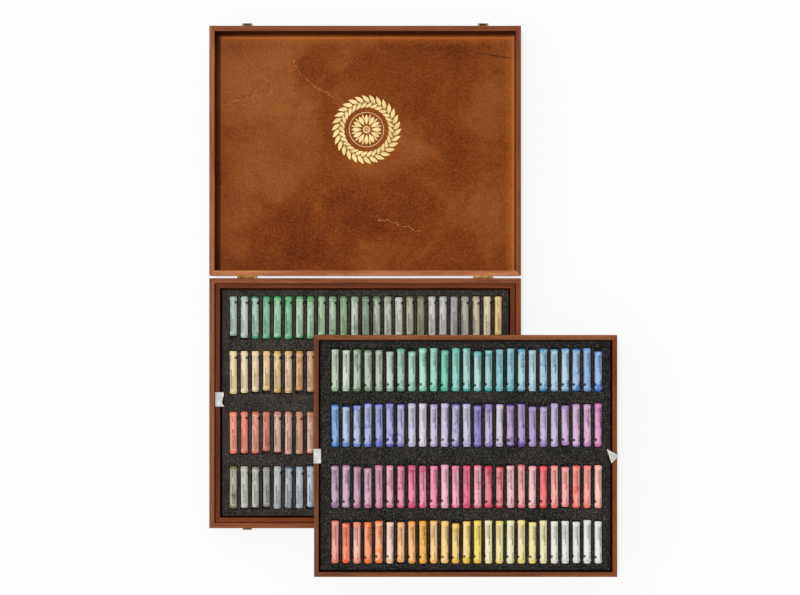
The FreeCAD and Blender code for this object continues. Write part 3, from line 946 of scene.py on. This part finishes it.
SLEEVE_PROFILE = ((-0.5, 1.0), (-0.43, WAIST), (0.43, WAIST), (0.5, 1.0))
SLEEVE_WALL = 0.2 * MM
SLEEVE_STRETCH = 1.04
FIBRE_STRETCH = (900.0, 500.0, 900.0)
RULES = (   # place across, half width, middle along, reach, dashes, ink
    (0.30, 0.13, 0.16, 0.25, 1.0, 1.0),
    (0.00, 0.07, 0.24, 0.18, 0.9, 0.85),
    (-0.22, 0.06, 0.25, 0.17, 0.9, 0.75),
    (-0.46, 0.06, 0.24, 0.17, 0.9, 0.6),
    (0.40, 0.10, -0.36, 0.09, 0.9, 0.9))
SPOT_PLACE = (-0.95, -0.38)
SPOT_SIZE = (0.34, 0.038)


def ruled_line():
    """Node group: one printed rule along a sleeve, whole or broken into dashes."""
    names = ("Across", "Along", "Place", "Width", "Middle", "Reach", "Dashes", "Seed")
    tree, given, ends = new_group("ruled line", "Shader", dict.fromkeys(names, "Float"),
                                  {"Mask": "Float"})
    across, along, place, width, middle, reach, dashes, seed = (given[name] for name in names)
    near = graded(abs(across - place) - width, -0.02, 0.02, 1.0, 0.0)
    within = graded(abs(along - middle) - reach, -0.003, 0.003, 1.0, 0.0)
    beat = vector_of(along * 44.0 + seed, across * 7.0, seed)
    gaps = graded(cloudy(beat, 1.0, 2.0), 0.38, 0.48)
    fill(ends, {"Mask": near * within * graded(dashes, 0.0, 1.0, 1.0, gaps)})
    return tree


RULED_LINE = ruled_line()


def tinted_paper():
    """Printed paper with fibres, a pasted seam, and smudges of dirt and of the stick."""
    material, where = new_finish("tinted_paper")
    core, tint = (carried(material, name, "Color") for name in ("core_colour", "paper_colour"))
    facing, round_by, seed = parts(carried(material, "printing", "Vector"))
    x, y, _ = parts(carried(material, "on_stick", "Vector"))
    across, along = x * facing + round_by, y * facing
    end = graded(abs(y), 0.30, 0.5)
    smudge = cloudy(where, 75.0, 5.0, 0.65, 0.6) + end * 0.12
    tone = mixed(graded(smudge, 0.55, 0.66, 0.0, 0.85), tint, core)
    dirt = graded(cloudy(where, 75.0, 6.0, 0.75, 0.4), 0.55, 0.74, 0.0, 0.42)
    tone = mixed(dirt, tone, mixed(0.3, paint(78, 76, 74), core))
    fibres = cloudy(where * FIBRE_STRETCH, 1.0, 3.0, 0.7)
    tone = mixed(graded(fibres, 0.54, 0.70, 0.0, 0.32), tone, paint(238, 236, 230))
    ink = mixed(0.18, paint(22, 24, 28), core)
    for place, width, middle, reach, dashes, strength in RULES:
        rule = put("ShaderNodeGroup",
                   {"Across": across, "Along": along, "Place": place, "Width": width,
                    "Middle": middle, "Reach": reach, "Dashes": dashes, "Seed": seed},
                   material.node_tree, node_tree=RULED_LINE)
        tone = mixed(Value(rule) * strength, tone, ink)
    spot = vector_of((across - SPOT_PLACE[0]) / SPOT_SIZE[0],
                     (along - SPOT_PLACE[1]) / SPOT_SIZE[1], 0.0)
    tone = mixed(graded(reckoned("LENGTH", spot), 0.85, 1.05, 1.0, 0.0), tone, ink)
    seam = graded(across, 0.86, 0.88)
    return finished(material, {
        "Base Color": tone, "Roughness": graded(smudge, 0.4, 0.7, 0.58, 0.85),
        "Specular IOR Level": 0.2, "Normal": bumped(fibres * 0.5 + seam, 0.08 * MM, 0.8)})


sleeve_paper = tinted_paper()
for tray, row in TRAY_ROWS:
    low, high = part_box(f"{tray}_labels_row_{row}")
    outer = (high[2] - low[2]) / 2
    inner = (outer - SLEEVE_WALL) / outer
    profile = [*SLEEVE_PROFILE, *((y, r * inner) for y, r in reversed(SLEEVE_PROFILE))]
    pattern = turned_profile("sleeve_pattern", profile, closed_ends=False)
    sleeves = new_object(f"{tray}_sleeves_{row}", row_places(tray, row, sleeved=True))
    with_tree(sleeves, laid_row, {
        "Pattern": pattern, "Radius": outer, "Length": SLEEVE_STRETCH * (high[1] - low[1]),
        "Dent": 0.16 * MM, "Flare": 0.7 * MM, "Seed": float(row), "Finish": sleeve_paper})
    bpy.data.objects.remove(pattern)
    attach(sleeves, tray)
    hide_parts(f"{tray}_labels_row_{row}")

# ----------------------------------------
# Lifting ribbons.
# White ribbon, glued up the outside of each tray's side boards and folded over the rim, to
# lift the tray by. It is plain-woven, and creased from use.
# ----------------------------------------

RIBBON_STEPS = 14
RIBBON_BEND_STEPS = 4
RIBBON_CROSS_STEPS = 20
RIBBON_BEND = 1.2 * MM
RIBBON_THICKNESS = 0.4 * MM
THREADS = 9000.0                            # radians of the weave's wave in a metre
GATHER_LIFT, GATHER_FOLDS, GATHER_REACH = 1.6 * MM, 14.0, 5.0    # at a ribbon pinched at the rim


def ribbon_path(outer, bottom, top, flap, inward):
    """The ribbon's own line in X and Z: up the wall, round the rim's edge, and inward."""
    wall_top, flat = top - RIBBON_BEND, flap - RIBBON_BEND
    points = [(outer, bottom + (wall_top - bottom) * i / RIBBON_STEPS)
              for i in range(RIBBON_STEPS)]
    for i in range(RIBBON_BEND_STEPS + 1):
        angle = math.pi / 2 * i / RIBBON_BEND_STEPS
        points.append((outer + inward * RIBBON_BEND * (1 - math.cos(angle)),
                       wall_top + RIBBON_BEND * math.sin(angle)))
    return points + [(outer + inward * (RIBBON_BEND + flat * i / RIBBON_STEPS), top)
                     for i in range(1, RIBBON_STEPS + 1)]


def white_ribbon():
    """Plain-woven white ribbon with a soft shine."""
    material, where = new_finish("white_ribbon")
    tone = mixed(graded(cloudy(where, 110.0, 4.0), 0.38, 0.66), paint(200, 202, 196),
                 paint(236, 237, 232))
    warp, weft = (reckoned("SINE", reckoned("DOT_PRODUCT", where, way) * THREADS)
                  for way in ((1, 0, 1), (0, 1, 0)))
    weave = warp * weft
    tone = mixed(graded(weave, -1.0, 1.0, 0.12, 0.0), tone, paint(150, 150, 156))
    return finished(material, {"Base Color": tone, "Roughness": 0.55, "Sheen Weight": 0.3,
                               "Normal": bumped(weave, 0.05 * MM, 0.6)})


def along_profile(shares, place):
    """A value between shares spaced evenly from place 0 to 1."""
    spot = place * (len(shares) - 1)
    step = min(int(spot), len(shares) - 2)
    return shares[step] + (shares[step + 1] - shares[step]) * (spot - step)


def ribbon_strip(name, node, inward, reach, crumple, pinch):
    """A ribbon that fills its place.

    reach gives how far its free end comes in, from front to back, as shares of the whole;
    pinch gathers it at the rim, and from there it fans out.
    """
    low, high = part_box(node)
    outer = (low[0] if inward > 0 else high[0]) + inward * RIBBON_THICKNESS / 2
    flap = high[0] - low[0] - RIBBON_THICKNESS / 2
    path = ribbon_path(outer, low[2], high[2] - RIBBON_THICKNESS / 2, flap, inward)
    middle, half = (low[1] + high[1]) / 2, (high[1] - low[1]) / 2
    corner = RIBBON_STEPS + RIBBON_BEND_STEPS / 2
    corners = []
    for i, (x, z) in enumerate(path):
        on_rim = max(0.0, i - corner) / (len(path) - 1 - corner)
        gathered = 1 - on_rim if i > corner else math.exp(-((i - corner) / GATHER_REACH) ** 2)
        for j in range(RIBBON_CROSS_STEPS + 1):
            across = 2 * j / RIBBON_CROSS_STEPS - 1
            y = middle + across * half * (1 - pinch * gathered)
            wave = noise.noise(Vector((i * 0.35, j * 0.30, half * 900 + outer * 90)))
            lift = crumple * MM * (0.6 + wave) * (0.25 + 0.75 * on_rim)
            lift += pinch * GATHER_LIFT * gathered * (1 + math.sin(across * GATHER_FOLDS)) / 2
            if i <= corner:
                corners.append((x - inward * lift * 0.2, y, z))
            else:
                share = along_profile(reach, j / RIBBON_CROSS_STEPS)
                corners.append((outer + (x - outer) * share, y, z + lift))
    faces = [face[::int(inward)] for face in grid_faces(RIBBON_CROSS_STEPS + 1, len(path))]
    strip = new_object(name, new_mesh(name, corners, faces, smooth=True))
    solid = strip.modifiers.new("thickness", "SOLIDIFY")
    solid.thickness = RIBBON_THICKNESS
    solid.offset = 0.0
    return settled(strip), 2 * half, sum(math.dist(a, b) for a, b in zip(path, path[1:]))


ribbon_finish = white_ribbon()
ribbon_plan = (
    # tray, side, inward, reach from front to back, crumple, pinch, held
    ("lower_tray", "left", 1, (1.0, 0.74, 0.74, 0.82, 0.90, 0.88), 1.2, 0.0, "draped"),
    ("lower_tray", "right", -1, (0.9, 1.0, 0.95), 0.7, 0.0, "draped"),
    ("upper_tray", "left", 1, (1.0, 0.98, 0.99, 0.96), 0.3, 0.0, "draped"),
    ("upper_tray", "right", -1, (0.54, 0.98), 0.5, 0.90, "folded"))
for tray, side, inward, reach, crumple, pinch, held_how in ribbon_plan:
    strip, width, length = ribbon_strip(f"{tray}_{side}_lifting_ribbon", f"{tray}_{side}_ribbon",
                                        inward, reach, crumple, pinch)
    strip.data.materials.clear()
    strip.data.materials.append(ribbon_finish)
    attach(strip, tray)
    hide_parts(f"{tray}_{side}_ribbon")

# ----------------------------------------
# Floor, lights and camera.
# A white table top, one broad lamp nearly overhead, a little to the left and behind, and a
# soft fill from all round, brightest from the left and behind. The camera looks down.
# ----------------------------------------

FLOOR_SIZE = 6.0
FLOOR_DROP = 0.3 * MM
CAMERA_PLACE = (0.0531, 0.161, 2.434)
CAMERA_LENS, CAMERA_FILM = 70.9, 36.0      # in mm
LAMP_DIRECTION = (-0.20, 0.12, 1.0)
LAMP_STRENGTH = 1.45
LAMP_SPREAD = 8.0
FILL_LEVEL, FILL_OVERHEAD = 0.95, 0.15     # at the height of the table, and straight above
FILL_FROM = (-0.8, 0.6, 0.0)
FILL_SHARES = (0.40, 1.45)                 # on the side away from FILL_FROM, and on its side
TABLE_GLOW = 0.80
WHITE = (1, 1, 1, 1)


def white_table():
    """White table top: it shows white, and keeps the shadows."""
    material, where = new_finish("white_table")
    tone = mixed(cloudy(where, 3.0, 2.0), paint(250, 250, 250), paint(255, 255, 255))
    finished(material, {"Base Color": tone, "Roughness": 0.8})
    nodes = material.node_tree.nodes
    rays = nodes.new("ShaderNodeLightPath")
    seen = largest([Value(rays, f"Is {kind} Ray")
                    for kind in ("Camera", "Glossy", "Transmission")])
    glow = put("ShaderNodeEmission", {0: WHITE, 1: 1.0}, material.node_tree)
    both = put("ShaderNodeMixShader", {0: seen * TABLE_GLOW, 2: Value(glow),
                                       1: Value(nodes["Principled BSDF"])})
    fill(nodes["Material Output"], {0: Value(both)})
    return material


half = FLOOR_SIZE / 2
floor_mesh = new_mesh("floor", [(x, y, -FLOOR_DROP) for x, y in (
    (-half, -half), (half, -half), (half, half), (-half, half))], [(0, 1, 2, 3)])
floor_mesh.materials.append(white_table())
new_object("floor", floor_mesh)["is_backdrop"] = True

lamp_data = bpy.data.lights.new("lamp", "SUN")
lamp_data.energy = LAMP_STRENGTH
lamp_data.angle = math.radians(LAMP_SPREAD)
lamp = new_object("lamp", lamp_data)
lamp.rotation_euler = Vector(LAMP_DIRECTION).to_track_quat("Z", "Y").to_euler()

world = bpy.data.worlds.new("room")
world.use_nodes = True
sky = world.node_tree
way = surface(sky, "Generated")
way_up, way_across = parts(way)[2], reckoned("DOT_PRODUCT", way, FILL_FROM)
glow = (graded(way_up * way_up, 0.0, 1.0, FILL_LEVEL, FILL_OVERHEAD)
        * graded(way_across, -0.8, 0.8, *FILL_SHARES))
seen = Value(sky.nodes.new("ShaderNodeLightPath"), "Is Camera Ray")
fill(sky.nodes["Background"], {0: WHITE, 1: reckoned("MAXIMUM", glow, seen)})
bpy.context.scene.world = world

camera_data = bpy.data.cameras.new("camera")
camera_data.lens = CAMERA_LENS
camera_data.sensor_width = CAMERA_FILM
camera = new_object("camera", camera_data)
camera.location = CAMERA_PLACE
bpy.context.scene.camera = camera
bpy.context.scene.view_settings.view_transform = "Standard"

low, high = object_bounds()
